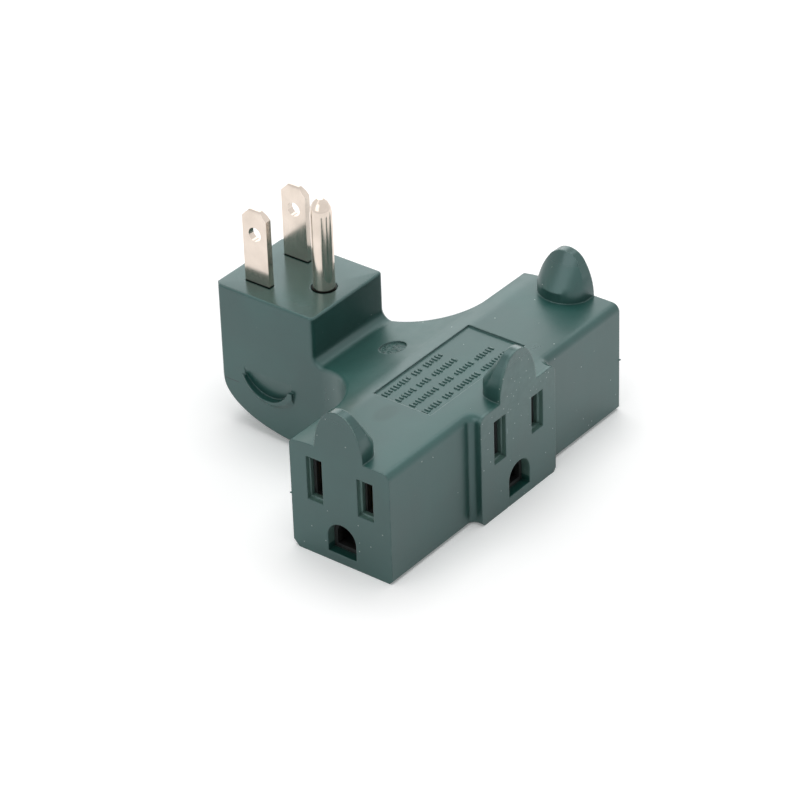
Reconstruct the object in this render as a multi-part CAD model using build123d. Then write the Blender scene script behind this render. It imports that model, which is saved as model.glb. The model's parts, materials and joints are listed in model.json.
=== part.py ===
"""Three-outlet wall tap lying on its front, with the prongs pointing up.

The frame: Z is 0 on the surface the tap lies on, +Z runs along the prongs,
X runs along the bar that carries the outlets, and -Y points from the plug
block towards the front outlet. The origin is under the middle of the tap.
"""
import math
import os

from build123d import *

# Plug block, measured from the plane through both blades
block_half_width = 11.8
block_ahead = 18.1
block_behind = 8.0
plug_face_z = 33.5
block_edge_round = 0.5

# Bar with the outlets
bar_length = 78.4
bar_depth = 25.0
bar_height = 25.9
bar_behind_gap = 15.7
front_box_width = 25.4
front_box_depth = 2.5
bar_top_round = 1.8
foot_bevel = 1.4
front_foot_bevel = 0.8
box_corner_round = 1.3

# Neck between the block and the bar
ramp_low_z = 22.2
ramp_run_on_bar = 3.7
crest_round = 18.0
ramp_edge_round = 1.0
root_round = 2.2
neck_radius = 14.4
parting_z = 11.1
underside_length = 22.0

# Raised guard tab over each outlet
tab_half_width = 6.05
tab_height = 9.8
tab_crown = 4.4
tab_rim = 2.0
tab_depth = 7.2
tab_back_crown = 6.7
tab_wall_height = 2.3
tab_root = 1.0

# Thumb grip on each side of the block
grip_radius = 8.25
grip_slope = 1.05
grip_stand = 0.7
grip_ahead = 6.1
grip_z = 16.4
grip_end_z = 13.6
grip_reach = 6.1
scoop_radius = 6.3
scoop_ahead = 5.35
scoop_z = 15.9
scoop_top_z = 15.6
scoop_depth = 1.0

# Bare label panel and round mark moulded into the top
panel_length = 32.0
panel_depth = 14.4
panel_shift = -1.1
panel_back_gap = 4.0
panel_sunk = 0.4
mark_radius = 2.9
mark_shift = 1.0
mark_ahead = 10.6
mark_sunk = 0.35

# Outlet openings
blade_spacing = 12.7
slot_z = 17.75
ground_drop = 11.96
entry_width = 3.95
neutral_entry = 10.2
hot_entry = 8.8
entry_depth = 1.1
neutral_throat = 3.6
hot_throat = 3.1
throat_trim = 0.7
face_wall = 2.1
ground_entry_radius = 3.55
ground_entry_flat = 3.7

# Hard insert behind each outlet face
insert_width = 20.6
insert_low_z = 1.4
insert_high_z = 23.2
insert_depth = 11.6
insert_front = 1.2
slit_width = 2.2
slit_trim = 0.9
ground_slit_radius = 2.75
ground_slit_flat = 2.75
chamber_width = 5.2
chamber_head = 4.6
ground_chamber_width = 7.2
ground_chamber_head = 3.7
cover_thickness = 1.2

# Brass strips that link the prongs to the outlet contacts
strip_thickness = 0.8
strip_width = 3.0
line_strip_z = 12.2
neutral_strip_z = 10.2
ground_strip_z = 2.2
run_gap = 0.9
finger_reach = 6.4
pad_inner = 1.6
pad_outer = 8.2
pad_half_depth = 3.4

# Female contacts
clip_stock = 0.4
clip_length = 8.0
clip_high_z = 21.4
clip_play = 0.4
clip_mouth = 1.1
clip_pinch = 0.62
clip_pinch_share = 0.35
clip_body = 1.0
clip_body_share = 0.6
ring_clearance = 0.02
ring_length = 6.2
ring_back_gap = 1.0
ring_gap_angle = 100.0

# Prongs
blade_width = 6.35
blade_thickness = 1.52
blade_length = 17.4
blade_corner = 1.8
blade_bevel_run = 0.4
blade_bevel_rise = 1.0
blade_hole_radius = 1.6
blade_hole_height = 11.8
foot_length = 3.6
pin_radius = 2.38
pin_length = 20.9
pin_nose = 3.4
pin_nose_rings = 3
pin_tip_radius = 0.7
pin_shank_radius = 2.59
pin_shoulder = 0.12
pin_tail_radius = 1.2
prong_seat_gap = 0.22
prong_seat_depth = 0.6
rivet_radius = 1.0
rivet_head = 1.7
rivet_head_height = 0.6

# Hard bridge that holds the prongs
bridge_half_width = 9.6
bridge_ahead = 15.8
bridge_behind = 5.6
bridge_low_z = 16.0
bridge_cap = 1.6
bridge_bevel = 1.0

# Slack for picking edges that lie near a plane of the model
edge_slack = 0.1

# Places worked out from the sizes above
total_depth = block_behind + block_ahead + bar_behind_gap + bar_depth + front_box_depth
blade_y = total_depth / 2 - block_behind
block_front_y = blade_y - block_ahead
block_back_y = blade_y + block_behind
bar_back_y = block_front_y - bar_behind_gap
bar_front_y = bar_back_y - bar_depth
bar_mid_y = (bar_back_y + bar_front_y) / 2
front_y = bar_front_y - front_box_depth
heel_y = block_back_y - underside_length
bar_half = bar_length / 2
box_half = front_box_width / 2
crest_y = bar_back_y - ramp_run_on_bar
half_spacing = blade_spacing / 2
ground_z = slot_z - ground_drop
pin_y = blade_y - ground_drop

# Each outlet looks along its own -Y in a local frame with the face at y = 0
outlets = {
    "left": Location((-bar_half, bar_mid_y, 0), (0, 0, -90)),
    "front": Location((0, front_y, 0)),
    "right": Location((bar_half, bar_mid_y, 0), (0, 0, 90)),
}


def box(x0, x1, y0, y1, z0, z1):
    """A box between two corners."""
    size = (x1 - x0, y1 - y0, z1 - z0)
    centre = ((x0 + x1) / 2, (y0 + y1) / 2, (z0 + z1) / 2)
    return Pos(*centre) * Box(*size)


def near(value, target, slack=0.01):
    """True where a coordinate lies on a plane of the model."""
    return abs(value - target) < slack


def plan_outline():
    """The T seen from above, with its curved neck and the front box."""
    bar = Pos(0, bar_mid_y) * Rectangle(bar_length, bar_depth)
    stem_mid = (block_back_y + bar_mid_y) / 2
    stem = Pos(0, stem_mid) * Rectangle(2 * block_half_width, block_back_y - bar_mid_y)
    front = Pos(0, (bar_mid_y + front_y) / 2) * Rectangle(front_box_width, bar_mid_y - front_y)
    outline = bar + stem + front
    armpits = [v for v in outline.vertices() if near(v.Y, bar_back_y) and near(abs(v.X), block_half_width)]
    outline = fillet(armpits, neck_radius)
    steps = [v for v in outline.vertices() if near(v.Y, bar_front_y) and near(abs(v.X), box_half)]
    return fillet(steps, box_corner_round)


def side_outline():
    """The tap seen from its side: bar, ramp, block and curved underside."""
    path = Polyline(
        (heel_y, 0),
        (front_y, 0),
        (front_y, bar_height),
        (crest_y, bar_height),
        (block_front_y, ramp_low_z),
        (block_front_y, plug_face_z),
        (block_back_y, plug_face_z),
        (block_back_y, parting_z),
    )
    sole = EllipticalCenterArc(
        (heel_y, parting_z),
        underside_length,
        parting_z,
        start_angle=270,
        arc_size=90,
    )
    outline = make_face(path + sole)
    crest = [v for v in outline.vertices() if near(v.X, crest_y) and near(v.Y, bar_height)]
    outline = fillet(crest, crest_round)
    root = [v for v in outline.vertices() if near(v.X, block_front_y) and near(v.Y, ramp_low_z)]
    return fillet(root, root_round)


def outer_form():
    """The outside of the moulded body without tabs or openings."""
    plan = extrude(plan_outline(), plug_face_z)
    side = extrude(Plane.YZ * side_outline(), bar_half, both=True)
    form = plan & side
    form = form.fillet(ramp_edge_round, form.edges().filter_by(on_neck_edge))
    form = form.chamfer(foot_bevel, None, form.edges().filter_by(on_foot_edge))
    form = form.chamfer(front_foot_bevel, None, form.edges().filter_by(on_front_foot))
    form = form.fillet(block_edge_round, form.edges().filter_by(on_plug_rim))
    return form.fillet(bar_top_round, form.edges().filter_by(on_bar_top_front))


def on_neck_edge(edge):
    """The block's front corners, the neck's top edges and the bar's top back edge."""
    middle = edge @ 0.5
    if near(abs(middle.X), block_half_width) and near(middle.Y, block_front_y):
        return middle.Z > ramp_low_z + root_round
    on_ramp = ramp_low_z < middle.Z < bar_height - edge_slack
    beside = block_half_width - edge_slack < abs(middle.X) < bar_half - edge_slack
    return on_ramp and beside and bar_back_y - edge_slack < middle.Y < block_front_y


def on_foot_edge(edge):
    """The block's back corners and the edges where the tap's sides turn under."""
    middle = edge @ 0.5
    beside = block_half_width - edge_slack < abs(middle.X) < bar_half - edge_slack
    corner = near(middle.Y, block_back_y)
    sole = middle.Y > heel_y and middle.Z < parting_z - edge_slack
    flat = near(middle.Z, 0) and bar_back_y - edge_slack < middle.Y < heel_y
    return beside and (corner or sole or flat)


def on_front_foot(edge):
    """The bar's lower front edge and the foot of the front box's sides."""
    middle = edge @ 0.5
    return near(middle.Z, 0) and front_y + edge_slack < middle.Y < bar_front_y + edge_slack


def on_plug_rim(edge):
    """The rim of the plug face."""
    return near((edge @ 0).Z, plug_face_z) and near((edge @ 1).Z, plug_face_z)


def on_bar_top_front(edge):
    """The bar's top front edge, on both sides of the front box."""
    middle = edge @ 0.5
    return near(middle.Y, bar_front_y) and near(middle.Z, bar_height)


def oval_arch(half_width, height, crown):
    """Half an oval on the X axis: a crown arc between two side arcs."""
    side = (half_width**2 + height**2 - 2 * height * crown) / (2 * (half_width - crown))
    centre = Vector(half_width - side, 0)
    aim = (Vector(0, height - crown) - centre) * (1 / (side - crown))
    right = centre + aim * side
    left = Vector(-right.X, right.Y)
    outline = Line((-half_width, 0), (half_width, 0))
    outline += TangentArc((half_width, 0), right, tangent=(0, 1))
    outline += ThreePointArc(right, (0, height), left)
    outline += TangentArc((-half_width, 0), left, tangent=(0, 1))
    return make_face(outline)


def guard_tab():
    """The raised tab over an outlet, in the outlet's own frame."""
    lean = tab_depth - tab_rim
    arch = oval_arch(tab_half_width, tab_height, tab_crown)
    arch += Pos(0, -tab_root / 2) * Rectangle(2 * tab_half_width, tab_root)
    front = Pos(0, tab_depth, bar_height) * extrude(Plane.XZ * arch, tab_depth)
    foot = Pos(0, tab_rim / 2) * Rectangle(2 * tab_half_width, tab_rim)
    foot += Pos(0, tab_rim) * oval_arch(tab_half_width, lean, tab_back_crown)
    wall = Pos(0, 0, bar_height - tab_root) * extrude(foot, tab_root + tab_wall_height)
    rise = tab_height - tab_wall_height
    slant = Vector(0, -lean, rise)
    hood = Pos(0, 0, bar_height + tab_wall_height) * extrude(foot, slant.length, dir=slant.normalized())
    return (wall + hood) & front


def keyhole(radius, flat):
    """A ground opening: a round top on a flat sill."""
    shape = Circle(radius) & Pos(0, radius) * Rectangle(2 * radius, 2 * radius)
    return shape + Pos(0, -flat / 2) * Rectangle(2 * radius, flat)


def face_openings():
    """The stepped entries in one outlet face, in the outlet's own frame."""
    cuts = []
    for side, height, throat_width in (
        (-1, neutral_entry, neutral_throat),
        (1, hot_entry, hot_throat),
    ):
        x = side * half_spacing
        entry = Pos(x, entry_depth / 2, slot_z) * Box(entry_width, entry_depth, height)
        throat = Pos(x, face_wall / 2, slot_z) * Box(throat_width, face_wall, height - throat_trim)
        cuts += [entry, throat]
    ground = Pos(0, face_wall, ground_z) * extrude(
        Plane.XZ * keyhole(ground_entry_radius, ground_entry_flat), face_wall
    )
    return cuts + [ground]


def insert_block():
    """The outside of one insert, in the outlet's own frame."""
    half = insert_width / 2
    return box(-half, half, face_wall, face_wall + insert_depth, insert_low_z, insert_high_z)


def outlet_insert():
    """One hard insert with its slits and contact chambers, open at the back."""
    body = insert_block()
    back = face_wall + insert_depth
    chamber_y = face_wall + insert_front
    for side, height, floor_z in (
        (-1, neutral_entry, neutral_strip_z),
        (1, hot_entry, line_strip_z),
    ):
        x = side * half_spacing
        body -= Pos(x, chamber_y - insert_front / 2, slot_z) * Box(
            slit_width, insert_front, height - slit_trim
        )
        half = chamber_width / 2
        body -= box(x - half, x + half, chamber_y, back, floor_z, slot_z + chamber_head)
    body -= Pos(0, chamber_y, ground_z) * extrude(
        Plane.XZ * keyhole(ground_slit_radius, ground_slit_flat), insert_front
    )
    half = ground_chamber_width / 2
    return body - box(-half, half, chamber_y, back, ground_strip_z, ground_z + ground_chamber_head)


def insert_cover():
    """The plate that closes an insert, with a gap for each brass finger."""
    half = insert_width / 2
    front = face_wall + insert_depth
    plate = box(-half, half, front, front + cover_thickness, insert_low_z, insert_high_z)
    for x, z in finger_places():
        plate -= box(x - strip_width / 2, x + strip_width / 2, front, front + cover_thickness,
                     z, z + strip_thickness)
    return plate


def finger_places():
    """Sideways place and height of the neutral, line and ground fingers of an outlet."""
    return [
        (-half_spacing, neutral_strip_z),
        (half_spacing, line_strip_z),
        (0, ground_strip_z),
    ]


def blade_clip(x, floor_z):
    """A female contact for a blade: two sprung arms joined at the back."""
    start = face_wall + insert_front + clip_play
    pinch_y = start + clip_pinch_share * clip_length
    body_y = start + clip_body_share * clip_length
    back_y = start + clip_length - clip_stock / 2
    path = Polyline(
        (x - clip_mouth, start),
        (x - clip_pinch, pinch_y),
        (x - clip_body, body_y),
        (x - clip_body, back_y),
        (x + clip_body, back_y),
        (x + clip_body, body_y),
        (x + clip_pinch, pinch_y),
        (x + clip_mouth, start),
    )
    return Pos(0, 0, floor_z) * extrude(trace(path, clip_stock), clip_high_z - floor_z)


def ground_clip():
    """A female contact for the ground pin: a split ring standing on its finger."""
    outer = ground_z - ground_strip_z - strip_thickness
    inner = pin_radius + ring_clearance
    ring = Circle(outer) - Circle(inner)
    gap = 2 * outer * Vector(0, 1).rotate(Axis.Z, ring_gap_angle / 2).X
    wedge = make_face(Polyline((0, 0), (gap, 2 * outer), (-gap, 2 * outer), close=True))
    back = face_wall + insert_depth - ring_back_gap
    return Pos(0, back, ground_z) * extrude(Plane.XZ * (ring - wedge), ring_length)


def flat_strip(offset, z, trunk_x, pad_y):
    """A brass strip: trunk, cross piece, side runs and a finger for each outlet.

    The offset is the pole's sideways place at every outlet, seen facing it.
    """
    half = strip_width / 2
    cross_y = front_y + face_wall + insert_depth + cover_thickness + run_gap + half
    run_x = bar_half - face_wall - insert_depth - cover_thickness - run_gap - half
    tip = face_wall + insert_depth - finger_reach
    left_y = bar_mid_y - offset
    right_y = bar_mid_y + offset
    shape = bar_between(trunk_x, cross_y, trunk_x, pad_y, half)
    shape += bar_between(-run_x, cross_y, run_x, cross_y, half)
    shape += bar_between(-run_x, cross_y, -run_x, left_y, half)
    shape += bar_between(run_x, cross_y, run_x, right_y, half)
    shape += bar_between(-run_x, left_y, tip - bar_half + half, left_y, half)
    shape += bar_between(run_x, right_y, bar_half - tip - half, right_y, half)
    shape += bar_between(offset, cross_y, offset, front_y + tip + half, half)
    return Pos(0, 0, z) * extrude(shape, strip_thickness)


def bar_between(x0, y0, x1, y1, half):
    """A flat rectangle round the line between two points, with square ends."""
    width = abs(x1 - x0) + 2 * half
    depth = abs(y1 - y0) + 2 * half
    return Pos((x0 + x1) / 2, (y0 + y1) / 2) * Rectangle(width, depth)


def blade_strip(side, z):
    """The line or neutral strip with its pad under the blade's foot."""
    strip = flat_strip(-side * half_spacing, z, side * half_spacing, blade_y)
    inner = side * pad_inner
    outer = side * pad_outer
    strip += box(min(inner, outer), max(inner, outer), blade_y - pad_half_depth,
                 blade_y + pad_half_depth, z, z + strip_thickness)
    return strip - rivet(side, z)


def ground_strip():
    """The ground strip, staked to the tail of the pin."""
    pad = box(-pad_half_depth, pad_half_depth, pin_y - pad_half_depth, pin_y + pad_half_depth,
              ground_strip_z, ground_strip_z + strip_thickness)
    return flat_strip(0, ground_strip_z, 0, pin_y) + pad - ground_pin()


def rivet_place(side):
    """Sideways place of the rivet through a blade's foot."""
    return side * (half_spacing - blade_thickness / 2 - foot_length / 2)


def rivet(side, z):
    """A rivet through a blade's foot and its strip, with its tail peened flush."""
    top = z + strip_thickness + blade_thickness
    shank = Pos(0, 0, z) * extrude(Circle(rivet_radius), top - z)
    head = Pos(0, 0, top) * extrude(Circle(rivet_head), rivet_head_height)
    return Pos(rivet_place(side), blade_y) * (shank + head)


def blade(side, z):
    """A flat prong with a bevelled tip, a detent hole and a riveted foot."""
    foot_z = z + strip_thickness
    tip_z = plug_face_z + blade_length
    half = blade_width / 2
    outline = Polyline(
        (-half, foot_z),
        (half, foot_z),
        (half, tip_z - blade_corner),
        (half - blade_corner, tip_z),
        (blade_corner - half, tip_z),
        (-half, tip_z - blade_corner),
        close=True,
    )
    plate = extrude(Plane.YZ * make_face(outline), blade_thickness / 2, both=True)
    hole = Plane.YZ * (Pos(0, plug_face_z + blade_hole_height) * Circle(blade_hole_radius))
    plate -= extrude(hole, blade_thickness, both=True)
    for face in (-1, 1):
        edge_x = face * blade_thickness / 2
        bevel = make_face(Polyline(
            (edge_x, tip_z - blade_bevel_rise),
            (edge_x, tip_z),
            (edge_x - face * blade_bevel_run, tip_z),
            close=True,
        ))
        plate -= extrude(Plane.XZ * bevel, blade_width, both=True)
    foot_x = blade_thickness / 2 + foot_length
    foot = box(min(0, -side * foot_x), max(0, -side * foot_x), -half, half,
               foot_z, foot_z + blade_thickness)
    prong = Pos(side * half_spacing, blade_y) * (plate + foot)
    return prong - rivet(side, z)


def ground_pin():
    """The round ground pin with a shoulder, a bullet nose and a staked tail."""
    seat_z = ground_strip_z + strip_thickness
    shoulder_z = plug_face_z + pin_shoulder
    nose_z = plug_face_z + pin_length - pin_nose
    outline = [
        (0, ground_strip_z),
        (pin_tail_radius, ground_strip_z),
        (pin_tail_radius, seat_z),
        (pin_shank_radius, seat_z),
        (pin_shank_radius, shoulder_z),
        (pin_radius, shoulder_z),
        (pin_radius, nose_z),
    ]
    taper = pin_radius - pin_tip_radius
    turn = 2 * math.atan2(taper, pin_nose)
    bend = pin_nose / math.sin(turn)
    for ring in range(1, pin_nose_rings + 1):
        angle = turn * ring / pin_nose_rings
        outline.append((pin_radius - bend * (1 - math.cos(angle)), nose_z + bend * math.sin(angle)))
    outline.append((0, plug_face_z + pin_length))
    profile = make_face(Polyline(*outline, close=True))
    return Pos(0, pin_y) * revolve(Plane.XZ * profile, Axis.Z)


def bridge_block():
    """The outside of the hard block that holds the prongs."""
    block = box(-bridge_half_width, bridge_half_width, blade_y - bridge_ahead, blade_y + bridge_behind,
                bridge_low_z, plug_face_z - bridge_cap)
    return block.chamfer(bridge_bevel, None, block.edges().filter_by(Axis.Z))


def grip():
    """The thumb grip on the +X side: its raised lip and the scoop above it."""
    face = Pos(block_half_width, blade_y)
    outward = Rot(0, 90, 0)
    base = (Align.CENTER, Align.CENTER, Align.MIN)
    mound = Cone(grip_radius, grip_radius - grip_slope, grip_stand, align=base)
    mound += Pos(0, 0, -scoop_depth) * Cylinder(grip_radius, scoop_depth, align=base)
    mound = face * Pos(0, -grip_ahead, grip_z) * outward * mound
    thumb = face * Pos(0, -scoop_ahead, scoop_z) * outward * Cylinder(scoop_radius, 4 * scoop_depth)
    reach = box(block_half_width - scoop_depth, block_half_width + grip_stand,
                blade_y - grip_ahead - grip_reach, blade_y + grip_radius, 0, grip_end_z)
    slope = make_face(Polyline(
        (0, scoop_top_z),
        (grip_stand, scoop_top_z),
        (grip_stand, scoop_z - scoop_radius),
        (-scoop_depth, scoop_z - scoop_radius),
        close=True,
    ))
    wedge = face * Pos(0, -scoop_ahead) * extrude(Plane.XZ * slope, scoop_radius, both=True)
    return (mound - thumb) & reach, thumb & wedge


def label_panel():
    """The bare sunk panel on top of the bar."""
    back_y = bar_back_y - panel_back_gap
    half = panel_length / 2
    return box(panel_shift - half, panel_shift + half, back_y - panel_depth, back_y,
               bar_height - panel_sunk, bar_height + panel_sunk)


def round_mark():
    """The bare sunk disc on the ramp, square to the ramp."""
    slope_run = block_front_y - crest_y
    slope_rise = bar_height - ramp_low_z
    share = mark_ahead / slope_run
    centre = (mark_shift, block_front_y - mark_ahead, ramp_low_z + share * slope_rise)
    ramp = Plane(origin=centre, x_dir=(1, 0, 0), z_dir=(0, slope_rise, slope_run))
    return extrude(ramp * Circle(mark_radius), mark_sunk, both=True)


def prong_seats():
    """The small gap in the plug face round each prong."""
    seats = []
    for side in (-1, 1):
        size = (blade_thickness + prong_seat_gap, blade_width + prong_seat_gap, 2 * prong_seat_depth)
        seats.append(Pos(side * half_spacing, blade_y, plug_face_z) * Box(*size))
    ring = Circle(pin_shank_radius + prong_seat_gap)
    seats.append(Pos(0, pin_y, plug_face_z) * extrude(ring, prong_seat_depth, both=True))
    return seats


def moulded_body(inner):
    """The one-piece soft body round everything inside."""
    body = outer_form()
    for place in outlets.values():
        body += place * guard_tab()
    lip, scoop = grip()
    body += lip + mirror(lip, Plane.YZ)
    body -= scoop
    body -= mirror(scoop, Plane.YZ)
    body -= label_panel()
    body -= round_mark()
    for seat in prong_seats():
        body -= seat
    for place in outlets.values():
        for cut in face_openings():
            body -= place * cut
        body -= place * insert_block()
    for piece in inner:
        body -= piece
    return body


def pieces():
    """Every piece of the tap by name."""
    made = {
        "line_blade": blade(-1, line_strip_z),
        "neutral_blade": blade(1, neutral_strip_z),
        "ground_pin": ground_pin(),
        "line_strip": blade_strip(-1, line_strip_z),
        "neutral_strip": blade_strip(1, neutral_strip_z),
        "ground_strip": ground_strip(),
        "line_rivet": rivet(-1, line_strip_z),
        "neutral_rivet": rivet(1, neutral_strip_z),
    }
    bridge = bridge_block()
    for prong in ("line_blade", "neutral_blade", "ground_pin"):
        bridge -= made[prong]
    made["prong_bridge"] = bridge
    for name, place in outlets.items():
        made[name + "_cover"] = place * insert_cover()
    made["moulded_body"] = moulded_body(list(made.values()))
    for name, place in outlets.items():
        made[name + "_insert"] = place * outlet_insert()
        made[name + "_neutral_clip"] = place * blade_clip(-half_spacing, neutral_strip_z + strip_thickness)
        made[name + "_line_clip"] = place * blade_clip(half_spacing, line_strip_z + strip_thickness)
        made[name + "_ground_clip"] = place * ground_clip()
    return made


def main():
    os.makedirs("parts", exist_ok=True)
    for name, shape in pieces().items():
        export_step(shape, f"parts/{name}.step")


main()
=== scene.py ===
"""A three-outlet wall tap lying on a pale floor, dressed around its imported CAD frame."""
import json
import math

import bmesh
import bpy
from mathutils import Matrix, Vector


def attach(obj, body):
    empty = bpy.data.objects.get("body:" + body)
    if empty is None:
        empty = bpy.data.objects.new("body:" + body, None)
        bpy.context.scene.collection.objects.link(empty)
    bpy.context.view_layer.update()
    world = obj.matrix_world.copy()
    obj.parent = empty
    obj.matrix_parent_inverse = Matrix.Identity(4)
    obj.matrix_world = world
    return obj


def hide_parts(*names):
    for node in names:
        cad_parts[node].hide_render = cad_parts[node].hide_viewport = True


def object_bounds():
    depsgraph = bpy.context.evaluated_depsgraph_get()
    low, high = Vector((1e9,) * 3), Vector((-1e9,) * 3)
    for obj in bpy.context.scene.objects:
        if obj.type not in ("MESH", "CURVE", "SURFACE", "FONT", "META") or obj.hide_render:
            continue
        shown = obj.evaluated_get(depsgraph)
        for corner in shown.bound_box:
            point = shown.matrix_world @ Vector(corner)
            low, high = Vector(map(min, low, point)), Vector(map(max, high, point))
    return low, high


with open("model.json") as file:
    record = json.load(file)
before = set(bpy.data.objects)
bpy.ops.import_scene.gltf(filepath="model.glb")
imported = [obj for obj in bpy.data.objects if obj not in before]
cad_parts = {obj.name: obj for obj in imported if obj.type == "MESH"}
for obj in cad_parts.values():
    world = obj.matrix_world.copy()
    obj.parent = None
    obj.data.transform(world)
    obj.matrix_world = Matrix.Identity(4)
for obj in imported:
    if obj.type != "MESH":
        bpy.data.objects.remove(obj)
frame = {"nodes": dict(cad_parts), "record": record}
cad_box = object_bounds()

# Camera, fitted to the outlines of the tap
CAMERA_AZIMUTH = math.radians(-51.38)
CAMERA_ELEVATION = math.radians(32.552)
CAMERA_ROLL = math.radians(-1.977)
CAMERA_DISTANCE = 0.759
CAMERA_AIM = Vector((0, 0.00165, 0.015))
CAMERA_OFFSET = (-0.004765, 0.003752)
CAMERA_CLIP = 0.01
SENSOR_WIDTH = 36.0
FOCAL_PIXELS = 3665.0
IMAGE_WIDTH = 800.0

# Floor: half its side, its finish, and its own glow beside the tap and far from it; the weaker glow
# beside the tap is painted shade round it
FLOOR_HALF = 3.0
FLOOR_GREY = 0.93
FLOOR_ROUGHNESS = 0.9
FLOOR_NEAR = 0.045
FLOOR_FAR = 0.105
FLOOR_GLOW_NEAR = 0.2
FLOOR_GLOW_FAR = 0.36

# Share of the white surround's brightness that lights the tap from all sides
WORLD_FILL = 0.14

# Soft lamps: azimuth and elevation in degrees, distance, width, height and brightness
LAMPS = {
    "top_light": (0, 88, 1.3, 1.2, 1.2, 2.5),
    "back_low": (128.6, 20, 1.2, 1.6, 0.6, 1.24),
    "back_high": (128.6, 62, 1.2, 1.4, 0.6, 0.95),
    "left_light": (-95, 35, 1.2, 0.9, 0.8, 0.88),
}

# The lamp whose mirror image stays out of the gloss
UNSEEN_LAMP = "top_light"

# Planes of the tap: end and middle line of the bar, face of the front outlet, panel and plug face
BAR_END = cad_box[1][0]
BAR_MIDDLE = -0.01965
FRONT_FACE = cad_box[0][1]
PANEL_FLOOR = 0.0255
PLUG_FACE = 0.0335

# Round mark on the ramp and oval patch on the bar
MARK_CENTRE = (0.001, -0.0021)
MARK_RADII = (0.0029, 0.0029)
MARK_SOFT = 0.04
STAIN_CENTRE = (-0.0215, -0.0178)
STAIN_RADII = (0.0034, 0.002)
STAIN_SOFT = 0.25

# Parting line on the plug block: its height, half its width, its side and where it starts along Y
PARTING_Z = 0.0111
PARTING_HALF = 0.0001
PARTING_SOFT = 0.00004
PARTING_SIDE = -0.0115
PARTING_START = 0.0289
PARTING_FULL = 0.0295

# Dust on the upper part of the front outlet's face
DUST_DEPTH = 0.00065
DUST_SOFT = 0.0002
DUST_LOW = 0.012
DUST_HIGH = 0.026

# Dull stretch of the ramp, along Y
DULL_BACK = 0.0082
DULL_FRONT = -0.009
DULL_SOFT = 0.002

# Depth of the shinier skin on the plug face
SHINE_DEPTH = 0.0004

# Walls of the outlets' openings, painted pale as painted light in the recesses: the room that they take
# behind each outlet's face
OPENING_SKIN = 0.00015
OPENING_DEPTH = 0.0022
OPENING_HALF = 0.0088
OPENING_LOW = 0.0035
OPENING_HIGH = 0.0235
OPENING_SOFT = 0.00008

# Height above the panel where the rims' wear and painted highlight are strongest
RUBBED_AND_HIGHLIT_RISE = 0.002

# Heights above the plug face between which the painted shade at the prongs' foot fades
FOOT_SHADE_LOW = 0.00015
FOOT_SHADE_HIGH = 0.0004

# Colours as sRGB levels
VINYL_DEEP = (24, 63, 57)
VINYL_PALE = (29, 73, 67)
STAIN_GREEN = (20, 52, 45)
SPECK_GREY = (205, 214, 208)
SCUFF_GREY = (176, 196, 188)
HAZE_GREY = (160, 192, 186)
MARK_GREEN = (12, 34, 30)
PARTING_GREEN = (6, 16, 14)
# Pale green on the openings' walls: painted light in the recesses
OPENING_PAINTED_LIGHT_GREEN = (110, 140, 132)
# Pale grey-green on the rims: wear and painted highlight on the edges
RUBBED_AND_HIGHLIT_GREY = (160, 188, 180)
NICKEL_DEEP = (210, 197, 185)
NICKEL_PALE = (227, 214, 202)
# Dark nickel at the prongs' foot: painted shade where they meet the plug face
NICKEL_FOOT_SHADE = (40, 44, 42)
BLACK_DEEP = (18, 20, 20)
BLACK_PALE = (28, 30, 30)
BRASS_DEEP = (170, 138, 78)
BRASS_PALE = (206, 172, 104)

# How strongly each mark shows in the vinyl's colour, with least and most where it varies
STAIN_SHARE = 0.6
SPECK_SHARE = 0.5
SCUFF_SHARE = 0.35
HAZE_SHARES = (0.03, 0.12)
MARK_SHARE = 0.6
# Share of the painted light on the openings' walls
OPENING_PAINTED_LIGHT_SHARE = 0.7
# Rims' wear and painted highlight, least and most
RUBBED_AND_HIGHLIT_SHARES = (0.15, 0.75)

# Share of the cells with a speck: on upright faces, on flat tops and, added to these, in the dust
SPECKS_UPRIGHT = 0.07
SPECKS_FLAT = 0.015
SPECKS_DUSTY = 0.8

# How far a face looks up where it starts to count as a flat top, and where it counts in full
FLAT_FOR_SPECKS = (0.5, 0.8)
FLAT_FOR_DULLNESS = (0.6, 0.8)

# How far a rim's rounded and plain normals agree where wear and painted highlight start and where they
# are full
RIM_AGREEMENT = (0.95, 0.75)
RIM_LEAST_WEAR_AND_HIGHLIGHT = 0.08

# Satin gloss of the vinyl, cooler than white
VINYL_SPECULAR = 1.0
VINYL_TINT = (0.77, 0.97, 1.0, 1.0)

# Roughness of each finish, and what changes the vinyl's
VINYL_ROUGHNESS = (0.29, 0.34)
STREAK_ROUGHNESS = 0.02
STAIN_ROUGHNESS = 0.05
DULL_ROUGHNESS = 0.13
SHINE_ROUGHNESS = -0.09
MARK_ROUGHNESS = 0.08
NICKEL_ROUGHNESS = (0.12, 0.22)
BLACK_ROUGHNESS = (0.5, 0.65)
BRASS_ROUGHNESS = (0.26, 0.4)

# Patterns of the mouldings: cells in a metre, and how specks, scuffs and streaks are turned and stretched
VINYL_GRAIN = 2600.0
BLACK_GRAIN = 1800.0
FLOW_SCALE = 60.0
LUMP_SCALE = 1100.0
HAZE_SCALE = 500.0
WEAR_SCALE = 330.0
STREAK_SCALE = (420, 420, 50)
FLOW_RANGE = (0.35, 0.65)
LUMP_RANGE = (0.4, 0.6)
WEAR_RANGE = (0.42, 0.62)
NOISE_RANGE = (0.3, 0.7)
SPECK_TURN = (0.5, 0.4, 0.6)
SPECK_CELLS = 900.0
SPECK_SIZE = 0.13
SCUFF_TURN = (0.1, 0.2, 0.3)
SCUFF_STRETCH = (1.0, 1.0, 0.11)
SCUFF_CELLS = 650.0
SCUFF_SIZE = 0.06

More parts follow.
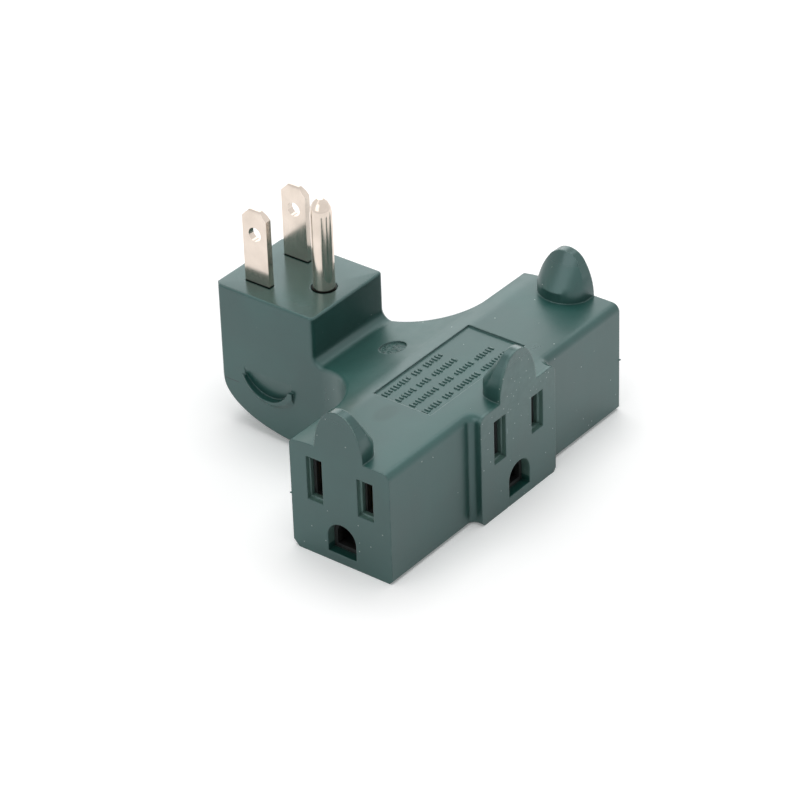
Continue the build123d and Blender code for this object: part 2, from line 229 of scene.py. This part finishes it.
# Patterns of the metals
NICKEL_CLOUDS = 160.0
NICKEL_LINES = (9000, 9000, 260)
BRASS_CLOUDS = 220.0

# Heights and strengths of the fine reliefs
GRAIN_HEIGHT = 0.00005
GRAIN_STRENGTH = 0.12
LUMP_HEIGHT = 0.0001
LUMP_STRENGTH = 1.0
LINE_HEIGHT = 0.00003
LINE_STRENGTH = 0.05

# Raised dashes on the panel: each row's Y, the X of its start and how many dashes each group has
DASH_ROWS = (
    (-0.0132, -0.0161, (9, 3, 6)),
    (-0.0166, -0.0169, (7, 4, 8)),
    (-0.0201, -0.0169, (10, 4, 6, 6)),
    (-0.0236, -0.0165, (6, 3, 8, 10)),
)
DASH_PITCH = 0.00098
DASH_WIDTH = 0.00042
DASH_LENGTHS = (0.0016, 0.0016, 0.0011)
DASH_RISE = 0.0002
DASH_TOP_SHARE = 0.8

# Tips left by the mould: each one's corner and the way it points
NUBS = (
    ((-0.0391, -0.0072, 0.0125), (-0.7, 0.7, 0)),
    ((0.0391, -0.0321, 0.0124), (0.7, -0.7, 0)),
)
NUB_SIDES = 8
NUB_RADIUS = 0.0004
NUB_TIP_RADIUS = 0.0001
NUB_LENGTH = 0.0009

# Merging and smoothing of the moulded surfaces
MERGE_DISTANCE = 2e-6
SOFT_EDGE = 0.0004
SOFT_EDGE_SAMPLES = 4
SMOOTH_ANGLE = math.radians(32)


def to_linear(level):
    """One sRGB channel, 0 to 255, as a linear value."""
    part = level / 255
    return part / 12.92 if part <= 0.04045 else ((part + 0.055) / 1.055) ** 2.4


def colour(levels):
    """A colour given as three sRGB levels."""
    return (*(to_linear(level) for level in levels), 1.0)


class Graph:
    """Short ways to add and join the nodes of a material or a group."""

    def __init__(self, tree):
        self.tree = tree

    def add(self, kind, inputs=None, **settings):
        """A new node with its inputs fed and its settings made."""
        node = self.tree.nodes.new(kind)
        for key, value in settings.items():
            setattr(node, key, value)
        for key, value in (inputs or {}).items():
            self.feed(node.inputs[key], value)
        return node

    def feed(self, socket, value):
        """Joins a socket to another one, or gives it a plain value."""
        if isinstance(value, bpy.types.NodeSocket):
            self.tree.links.new(value, socket)
        else:
            socket.default_value = value

    def math(self, operation, first, second=0.0):
        """One step of arithmetic on one or two values."""
        return self.add("ShaderNodeMath", {0: first, 1: second}, operation=operation).outputs[0]

    def times(self, first, second):
        """Two values multiplied."""
        return self.math("MULTIPLY", first, second)

    def ramp(self, value, low, high, start=0.0, end=1.0):
        """A value that goes from start to end between two limits."""
        node = self.add(
            "ShaderNodeMapRange",
            {"Value": value, "From Min": low, "From Max": high, "To Min": start, "To Max": end},
        )
        return node.outputs[0]

    def spread(self, noise, low=0.0, high=1.0):
        """A noise whose usual range is spread between two limits."""
        return self.ramp(noise, *NOISE_RANGE, start=low, end=high)

    def mix(self, share, first, second):
        """Two colours mixed; on this node, 6, 7 and 2 are the sockets for colours."""
        return self.add("ShaderNodeMix", {0: share, 6: first, 7: second}, data_type="RGBA").outputs[2]

    def place(self, scale=(1, 1, 1)):
        """Where a point lies on its piece, stretched along each axis."""
        here = self.add("ShaderNodeTexCoord").outputs["Object"]
        return self.add("ShaderNodeMapping", {"Vector": here, "Scale": scale}).outputs[0]

    def noise(self, place, scale=1.0, detail=2.0, rough=0.5):
        """Soft random clouds."""
        node = self.add(
            "ShaderNodeTexNoise",
            {"Vector": place, "Scale": scale, "Detail": detail, "Roughness": rough},
        )
        return node.outputs["Fac"]

    def bump(self, height, distance, strength, under=None):
        """A normal that follows a height pattern, over the normal beneath it where one is given."""
        node = self.add("ShaderNodeBump", {"Strength": strength, "Distance": distance, "Height": height})
        if under is not None:
            self.feed(node.inputs["Normal"], under)
        return node.outputs[0]

    def axes(self, vector):
        """The three parts of a vector."""
        return self.add("ShaderNodeSeparateXYZ", {"Vector": vector}).outputs


def new_material(name):
    """An empty material with its Principled shader."""
    made = bpy.data.materials.new(name)
    made.use_nodes = True
    tree = made.node_tree
    return made, Graph(tree), tree.nodes["Principled BSDF"]


def scattered(graph, place, scale, size, share):
    """A mask of small spots in a share of a cell pattern's cells."""
    cells = graph.add("ShaderNodeTexVoronoi", {"Vector": place, "Scale": scale})
    near = graph.math("LESS_THAN", cells.outputs["Distance"], size)
    pick = graph.add("ShaderNodeSeparateColor", {"Color": cells.outputs["Color"]}).outputs[0]
    return graph.times(near, graph.math("LESS_THAN", pick, share))


def moulded_grain_group():
    """Fine grain, soft flow marks, dust specks and scuffs of a moulding."""
    tree = bpy.data.node_groups.new("moulded_grain", "ShaderNodeTree")
    face = tree.interface
    face.new_socket("Vector", in_out="INPUT", socket_type="NodeSocketVector")
    for name in ("Grain Scale", "Speck Share"):
        face.new_socket(name, in_out="INPUT", socket_type="NodeSocketFloat")
    for name in ("Height", "Flow", "Specks", "Scuffs"):
        face.new_socket(name, in_out="OUTPUT", socket_type="NodeSocketFloat")
    graph = Graph(tree)
    start = graph.add("NodeGroupInput")
    end = graph.add("NodeGroupOutput")
    here = start.outputs["Vector"]
    share = start.outputs["Speck Share"]
    turned = graph.add("ShaderNodeMapping", {"Vector": here, "Rotation": SPECK_TURN})
    stretched = graph.add(
        "ShaderNodeMapping", {"Vector": here, "Rotation": SCUFF_TURN, "Scale": SCUFF_STRETCH}
    )
    results = {
        "Height": graph.noise(here, start.outputs["Grain Scale"], detail=3.0, rough=0.6),
        "Flow": graph.noise(here, FLOW_SCALE, detail=2.0, rough=0.55),
        "Specks": scattered(graph, turned.outputs[0], SPECK_CELLS, SPECK_SIZE, share),
        "Scuffs": scattered(graph, stretched.outputs[0], SCUFF_CELLS, SCUFF_SIZE, share),
    }
    for name, value in results.items():
        graph.feed(end.inputs[name], value)
    return tree


GRAIN = moulded_grain_group()


def grain_of(graph, place, scale, specks):
    """The moulded grain group placed in a material."""
    node = graph.add("ShaderNodeGroup", node_tree=GRAIN)
    graph.feed(node.inputs["Vector"], place)
    graph.feed(node.inputs["Grain Scale"], scale)
    graph.feed(node.inputs["Speck Share"], specks)
    return node.outputs


def inside(graph, value, low, high, soft):
    """1 between two limits, with soft ends."""
    rise = graph.ramp(value, low - soft, low + soft)
    fall = graph.ramp(value, high - soft, high + soft, start=1.0, end=0.0)
    return graph.times(rise, fall)


def inside_box(graph, axes, low, high, soft):
    """1 inside an upright box, with soft sides."""
    share = 1.0
    for value, start, stop in zip(axes, low, high):
        share = graph.times(share, inside(graph, value, start, stop, soft))
    return share


def round_spot(graph, place, centre, radii, soft):
    """1 inside an upright oval column round a centre, with a soft rim."""
    shift = (-centre[0] / radii[0], -centre[1] / radii[1], 0.0)
    scale = (1 / radii[0], 1 / radii[1], 0.0)
    near = graph.add("ShaderNodeMapping", {"Vector": place, "Location": shift, "Scale": scale})
    size = graph.add("ShaderNodeVectorMath", {0: near.outputs[0]}, operation="LENGTH")
    return graph.ramp(size.outputs["Value"], 1.0 - soft, 1.0 + soft, start=1.0, end=0.0)


def dusty_face(graph, axes):
    """1 on the upper part of the front outlet's face."""
    depth = inside(graph, axes[1], FRONT_FACE - DUST_DEPTH, FRONT_FACE + DUST_DEPTH, DUST_SOFT)
    return graph.times(depth, graph.ramp(axes[2], DUST_LOW, DUST_HIGH))


def parting_line(graph, axes):
    """1 along the fine line that the mould leaves across the plug block's left side."""
    height = inside(graph, axes[2], PARTING_Z - PARTING_HALF, PARTING_Z + PARTING_HALF, PARTING_SOFT)
    left = graph.math("LESS_THAN", axes[0], PARTING_SIDE)
    return graph.times(height, graph.times(left, graph.ramp(axes[1], PARTING_START, PARTING_FULL)))


def painted_light_on_opening_walls(graph, axes):
    """1 on the vinyl walls inside the outlets' openings, which are painted pale as painted light in the
    recesses.
    """
    from_middle = graph.math("ABSOLUTE", axes[0])
    at_ends = inside_box(
        graph,
        (from_middle, axes[1], axes[2]),
        (BAR_END - OPENING_DEPTH, BAR_MIDDLE - OPENING_HALF, OPENING_LOW),
        (BAR_END - OPENING_SKIN, BAR_MIDDLE + OPENING_HALF, OPENING_HIGH),
        OPENING_SOFT,
    )
    at_front = inside_box(
        graph,
        axes,
        (-OPENING_HALF, FRONT_FACE + OPENING_SKIN, OPENING_LOW),
        (OPENING_HALF, FRONT_FACE + OPENING_DEPTH, OPENING_HIGH),
        OPENING_SOFT,
    )
    return graph.math("ADD", at_ends, at_front)


def rubbed_and_highlit_rims(graph, place, axes, rounded, plain):
    """Uneven wear and painted highlight on the sharp rims, where the rounded normal turns from the plain
    one.
    """
    agree = graph.add("ShaderNodeVectorMath", {0: rounded, 1: plain}, operation="DOT_PRODUCT")
    sharp = graph.ramp(agree.outputs["Value"], *RIM_AGREEMENT)
    clouds = graph.noise(place, WEAR_SCALE, detail=3.0, rough=0.6)
    uneven = graph.ramp(clouds, *WEAR_RANGE, start=RIM_LEAST_WEAR_AND_HIGHLIGHT, end=1.0)
    raised = graph.ramp(axes[2], PANEL_FLOOR, PANEL_FLOOR + RUBBED_AND_HIGHLIT_RISE, *RUBBED_AND_HIGHLIT_SHARES)
    return graph.times(graph.times(sharp, uneven), raised)


def vinyl_colour(graph, place, axes, grain, masks):
    """Green with its flow marks, then each mark, trace of wear and painted light laid over it."""
    clouds = graph.noise(place, HAZE_SCALE, detail=3.0, rough=0.7)
    haze = graph.spread(clouds, *HAZE_SHARES)
    layers = (
        (graph.times(masks["stain"], STAIN_SHARE), STAIN_GREEN),
        (graph.times(grain["Specks"], SPECK_SHARE), SPECK_GREY),
        (graph.times(grain["Scuffs"], SCUFF_SHARE), SCUFF_GREY),
        (graph.times(masks["dusty"], haze), HAZE_GREY),
        (graph.times(masks["lumpy mark"], MARK_SHARE), MARK_GREEN),
        (parting_line(graph, axes), PARTING_GREEN),
        # Openings' walls painted pale: painted light in the recesses
        (graph.times(painted_light_on_opening_walls(graph, axes), OPENING_PAINTED_LIGHT_SHARE), OPENING_PAINTED_LIGHT_GREEN),
        # Rims: wear and painted highlight
        (masks["rubbed_and_highlit"], RUBBED_AND_HIGHLIT_GREY),
    )
    base = graph.mix(graph.ramp(grain["Flow"], *FLOW_RANGE), colour(VINYL_DEEP), colour(VINYL_PALE))
    for share, levels in layers:
        base = graph.mix(share, base, colour(levels))
    return base


def vinyl_roughness(graph, axes, grain, upward, masks):
    """Satin gloss with faint streaks, duller on the ramp and in the marks, shinier on the plug face."""
    streaks = graph.noise(graph.place(STREAK_SCALE))
    ramp_stretch = inside(graph, axes[1], DULL_FRONT, DULL_BACK, DULL_SOFT)
    sloped = graph.times(ramp_stretch, graph.ramp(upward, *FLAT_FOR_DULLNESS))
    changes = (
        graph.spread(streaks, -STREAK_ROUGHNESS, STREAK_ROUGHNESS),
        graph.times(masks["stain"], STAIN_ROUGHNESS),
        graph.times(sloped, DULL_ROUGHNESS),
        graph.ramp(axes[2], PLUG_FACE - SHINE_DEPTH, PLUG_FACE, start=0.0, end=SHINE_ROUGHNESS),
        graph.times(masks["mark"], MARK_ROUGHNESS),
    )
    rough = graph.spread(grain["Flow"], *VINYL_ROUGHNESS)
    for change in changes:
        rough = graph.math("ADD", rough, change)
    return rough


def vinyl_relief(graph, grain, rounded, lumpy_mark):
    """Rounded edges with fine grain, and the round mark's mottled floor."""
    fine = graph.bump(grain["Height"], GRAIN_HEIGHT, GRAIN_STRENGTH, rounded)
    return graph.bump(lumpy_mark, LUMP_HEIGHT, LUMP_STRENGTH, fine)


def green_vinyl():
    """Dark green soft vinyl with a satin skin."""
    made, graph, shader = new_material("green_vinyl")
    place = graph.place()
    axes = graph.axes(place)
    plain = graph.add("ShaderNodeNewGeometry").outputs["True Normal"]
    upward = graph.axes(plain)[2]
    rounded = graph.add("ShaderNodeBevel", {"Radius": SOFT_EDGE}, samples=SOFT_EDGE_SAMPLES).outputs[0]
    dusty = dusty_face(graph, axes)
    speck_share = graph.ramp(upward, *FLAT_FOR_SPECKS, start=SPECKS_UPRIGHT, end=SPECKS_FLAT)
    speck_share = graph.math("ADD", speck_share, graph.times(dusty, SPECKS_DUSTY))
    grain = grain_of(graph, place, VINYL_GRAIN, speck_share)
    lumps = graph.ramp(graph.noise(place, LUMP_SCALE, detail=2.0, rough=0.6), *LUMP_RANGE)
    mark = round_spot(graph, place, MARK_CENTRE, MARK_RADII, MARK_SOFT)
    masks = {
        "dusty": dusty,
        "mark": mark,
        "lumpy mark": graph.times(lumps, mark),
        "stain": round_spot(graph, place, STAIN_CENTRE, STAIN_RADII, STAIN_SOFT),
        # Wear and painted highlight on the rims
        "rubbed_and_highlit": rubbed_and_highlit_rims(graph, place, axes, rounded, plain),
    }
    graph.feed(shader.inputs["Base Color"], vinyl_colour(graph, place, axes, grain, masks))
    graph.feed(shader.inputs["Roughness"], vinyl_roughness(graph, axes, grain, upward, masks))
    graph.feed(shader.inputs["Normal"], vinyl_relief(graph, grain, rounded, masks["lumpy mark"]))
    shader.inputs["Specular IOR Level"].default_value = VINYL_SPECULAR
    shader.inputs["Specular Tint"].default_value = VINYL_TINT
    return made


def nickel():
    """Warm nickel plate with fine drawing marks along Z and painted shade at its foot."""
    made, graph, shader = new_material("nickel_plate")
    place = graph.place()
    lines = graph.noise(graph.place(NICKEL_LINES), detail=3.0, rough=0.6)
    clouds = graph.noise(place, NICKEL_CLOUDS, detail=3.0, rough=0.6)
    base = graph.mix(graph.spread(clouds), colour(NICKEL_DEEP), colour(NICKEL_PALE))
    height = graph.axes(place)[2]
    # Painted shade at the foot, where the prongs meet the plug face
    foot_shade = graph.ramp(height, PLUG_FACE + FOOT_SHADE_LOW, PLUG_FACE + FOOT_SHADE_HIGH, start=1.0, end=0.0)
    graph.feed(shader.inputs["Base Color"], graph.mix(foot_shade, base, colour(NICKEL_FOOT_SHADE)))
    shader.inputs["Metallic"].default_value = 1.0
    graph.feed(shader.inputs["Roughness"], graph.spread(lines, *NICKEL_ROUGHNESS))
    graph.feed(shader.inputs["Normal"], graph.bump(lines, LINE_HEIGHT, LINE_STRENGTH))
    return made


def black_moulding():
    """Dull black hard plastic of the inserts."""
    made, graph, shader = new_material("black_plastic")
    grain = grain_of(graph, graph.place(), BLACK_GRAIN, 0.0)
    base = graph.mix(graph.spread(grain["Flow"]), colour(BLACK_DEEP), colour(BLACK_PALE))
    graph.feed(shader.inputs["Base Color"], base)
    graph.feed(shader.inputs["Roughness"], graph.spread(grain["Height"], *BLACK_ROUGHNESS))
    return made


def spring_brass():
    """Stamped brass of the contacts, strips and rivets."""
    made, graph, shader = new_material("spring_brass")
    clouds = graph.noise(graph.place(), BRASS_CLOUDS, detail=3.0, rough=0.6)
    base = graph.mix(graph.spread(clouds), colour(BRASS_DEEP), colour(BRASS_PALE))
    graph.feed(shader.inputs["Base Color"], base)
    shader.inputs["Metallic"].default_value = 1.0
    graph.feed(shader.inputs["Roughness"], graph.spread(clouds, *BRASS_ROUGHNESS))
    return made


def seen_rays(graph):
    """1 for the rays that show the surround: to the camera, in gloss and through glass."""
    path = graph.add("ShaderNodeLightPath")
    seen = graph.math("MAXIMUM", path.outputs["Is Camera Ray"], path.outputs["Is Glossy Ray"])
    return graph.math("MAXIMUM", seen, path.outputs["Is Transmission Ray"])


def floor_white():
    """Plain white table that keeps the tap's shadow, with a glow that is weaker beside the tap as painted
    shade round it.
    """
    made, graph, shader = new_material("floor_white")
    shader.inputs["Base Color"].default_value = (FLOOR_GREY, FLOOR_GREY, FLOOR_GREY, 1.0)
    shader.inputs["Roughness"].default_value = FLOOR_ROUGHNESS
    shader.inputs["Specular IOR Level"].default_value = 0.0
    shader.inputs["Emission Color"].default_value = (1, 1, 1, 1)
    away = graph.add("ShaderNodeVectorMath", {0: graph.place()}, operation="LENGTH").outputs["Value"]
    # Glow weaker beside the tap: painted shade round it
    glow = graph.ramp(away, FLOOR_NEAR, FLOOR_FAR, start=FLOOR_GLOW_NEAR, end=FLOOR_GLOW_FAR)
    graph.feed(shader.inputs["Emission Strength"], graph.times(seen_rays(graph), glow))
    return made


MATERIALS = {
    "green_vinyl": green_vinyl(),
    "nickel_plate": nickel(),
    "black_plastic": black_moulding(),
    "spring_brass": spring_brass(),
}
MATERIALS["bridge_plastic"] = MATERIALS["black_plastic"]
MATERIALS["rivet_brass"] = MATERIALS["spring_brass"]


def stand(name, data):
    """A new object at the origin of the scene."""
    made = bpy.data.objects.new(name, data)
    bpy.context.scene.collection.objects.link(made)
    return made


def dress_frame():
    """Gives every CAD node the finish of its slot."""
    slots = {part["node"]: part["material_slot"] for part in frame["record"]["subparts"]}
    for name, node in frame["nodes"].items():
        node.data.materials.clear()
        node.data.materials.append(MATERIALS[slots[name]])


def smooth_copy(node_name, slot_name):
    """A merged and smooth-shaded copy of a CAD node, which stands for it."""
    mesh = frame["nodes"][node_name].data.copy()
    form = bmesh.new()
    form.from_mesh(mesh)
    bmesh.ops.remove_doubles(form, verts=form.verts, dist=MERGE_DISTANCE)
    for face in form.faces:
        face.smooth = True
    for edge in form.edges:
        if len(edge.link_faces) == 2:
            edge.smooth = edge.calc_face_angle() < SMOOTH_ANGLE
    form.to_mesh(mesh)
    form.free()
    mesh.materials.clear()
    mesh.materials.append(MATERIALS[slot_name])
    made = stand(node_name + "_skin", mesh)
    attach(made, "root")
    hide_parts(node_name)


def new_piece(name, form, slot_name):
    """A finished mesh as a piece that rides with the tap."""
    bmesh.ops.recalc_face_normals(form, faces=form.faces)
    mesh = bpy.data.meshes.new(name)
    form.to_mesh(mesh)
    form.free()
    mesh.materials.append(MATERIALS[slot_name])
    made = stand(name, mesh)
    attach(made, "root")


def block_at(form, centre, size, top_share):
    """A small block round its centre, with a narrower top."""
    made = bmesh.ops.create_cube(form, size=1.0)["verts"]
    for vert in made:
        share = top_share if vert.co.z > 0 else 1.0
        vert.co.x *= share
        vert.co.y *= share
    bmesh.ops.scale(form, vec=size, verts=made)
    bmesh.ops.translate(form, vec=centre, verts=made)


def flash_nubs():
    """The small tips that the mould's parting leaves on two corners of the bar."""
    form = bmesh.new()
    for corner, away in NUBS:
        made = bmesh.ops.create_cone(
            form,
            cap_ends=True,
            segments=NUB_SIDES,
            radius1=NUB_RADIUS,
            radius2=NUB_TIP_RADIUS,
            depth=NUB_LENGTH,
        )["verts"]
        turn = Vector(away).to_track_quat("Z", "Y").to_matrix()
        bmesh.ops.rotate(form, cent=(0, 0, 0), matrix=turn, verts=made)
        bmesh.ops.translate(form, vec=corner, verts=made)
    new_piece("flash_nubs", form, "green_vinyl")


def raise_dashes():
    """Rows of plain raised dashes, each sunk by its rise in the panel."""
    form = bmesh.new()
    for y, x, groups in DASH_ROWS:
        count = 0
        for dashes in groups:
            for _ in range(dashes):
                size = (DASH_WIDTH, DASH_LENGTHS[count % len(DASH_LENGTHS)], DASH_RISE * 2)
                block_at(form, (x, y, PANEL_FLOOR), size, DASH_TOP_SHARE)
                x += DASH_PITCH
                count += 1
            x += DASH_PITCH
    new_piece("label_dashes", form, "green_vinyl")


def lay_floor():
    """The table under the tap."""
    form = bmesh.new()
    bmesh.ops.create_grid(form, x_segments=1, y_segments=1, size=FLOOR_HALF)
    mesh = bpy.data.meshes.new("floor")
    form.to_mesh(mesh)
    form.free()
    mesh.materials.append(floor_white())
    floor = stand("floor", mesh)


def outward(azimuth, elevation):
    """The direction from the tap at an azimuth from -Y and an elevation."""
    flat = math.cos(elevation)
    return Vector((math.sin(azimuth) * flat, -math.cos(azimuth) * flat, math.sin(elevation)))


def soft_box(name, azimuth, elevation, distance, width, height, strength):
    """A rectangular lamp that looks at the tap; strength is its brightness."""
    away = outward(math.radians(azimuth), math.radians(elevation))
    lamp = bpy.data.lights.new(name, "AREA")
    lamp.shape = "RECTANGLE"
    lamp.size = width
    lamp.size_y = height
    lamp.energy = strength * math.pi * width * height
    made = stand(name, lamp)
    made.location = away * distance
    made.rotation_euler = away.to_track_quat("Z", "Y").to_euler()
    made.visible_glossy = name != UNSEEN_LAMP


def light_studio():
    """Soft lamps above, behind and at the left, and a white surround."""
    for name, lamp in LAMPS.items():
        soft_box(name, *lamp)
    world = bpy.data.worlds.new("surround")
    bpy.context.scene.world = world
    world.use_nodes = True
    graph = Graph(world.node_tree)
    back = world.node_tree.nodes["Background"]
    strength = graph.ramp(seen_rays(graph), 0.0, 1.0, start=WORLD_FILL, end=1.0)
    graph.feed(back.inputs["Strength"], strength)
    back.inputs["Color"].default_value = (1, 1, 1, 1)


def set_camera():
    """The camera at the photograph's place."""
    right = Vector((math.cos(CAMERA_AZIMUTH), math.sin(CAMERA_AZIMUTH), 0))
    back = outward(CAMERA_AZIMUTH, CAMERA_ELEVATION)
    up = back.cross(right)
    right_rolled = right * math.cos(CAMERA_ROLL) + up * math.sin(CAMERA_ROLL)
    up_rolled = up * math.cos(CAMERA_ROLL) - right * math.sin(CAMERA_ROLL)
    place = CAMERA_AIM + back * CAMERA_DISTANCE
    place -= right_rolled * CAMERA_OFFSET[0] + up_rolled * CAMERA_OFFSET[1]
    turn = Matrix((right_rolled, up_rolled, back)).transposed().to_4x4()
    data = bpy.data.cameras.new("camera")
    data.sensor_width = SENSOR_WIDTH
    data.sensor_fit = "HORIZONTAL"
    data.lens = FOCAL_PIXELS / IMAGE_WIDTH * SENSOR_WIDTH
    data.clip_start = CAMERA_CLIP
    camera = stand("camera", data)
    camera.matrix_world = Matrix.Translation(place) @ turn
    bpy.context.scene.camera = camera


set_camera()
light_studio()
lay_floor()
dress_frame()
smooth_copy("moulded_body", "green_vinyl")
raise_dashes()
flash_nubs()
for prong in ("line_blade", "neutral_blade", "ground_pin"):
    smooth_copy(prong, "nickel_plate")
bpy.context.scene.view_settings.view_transform = "Standard"
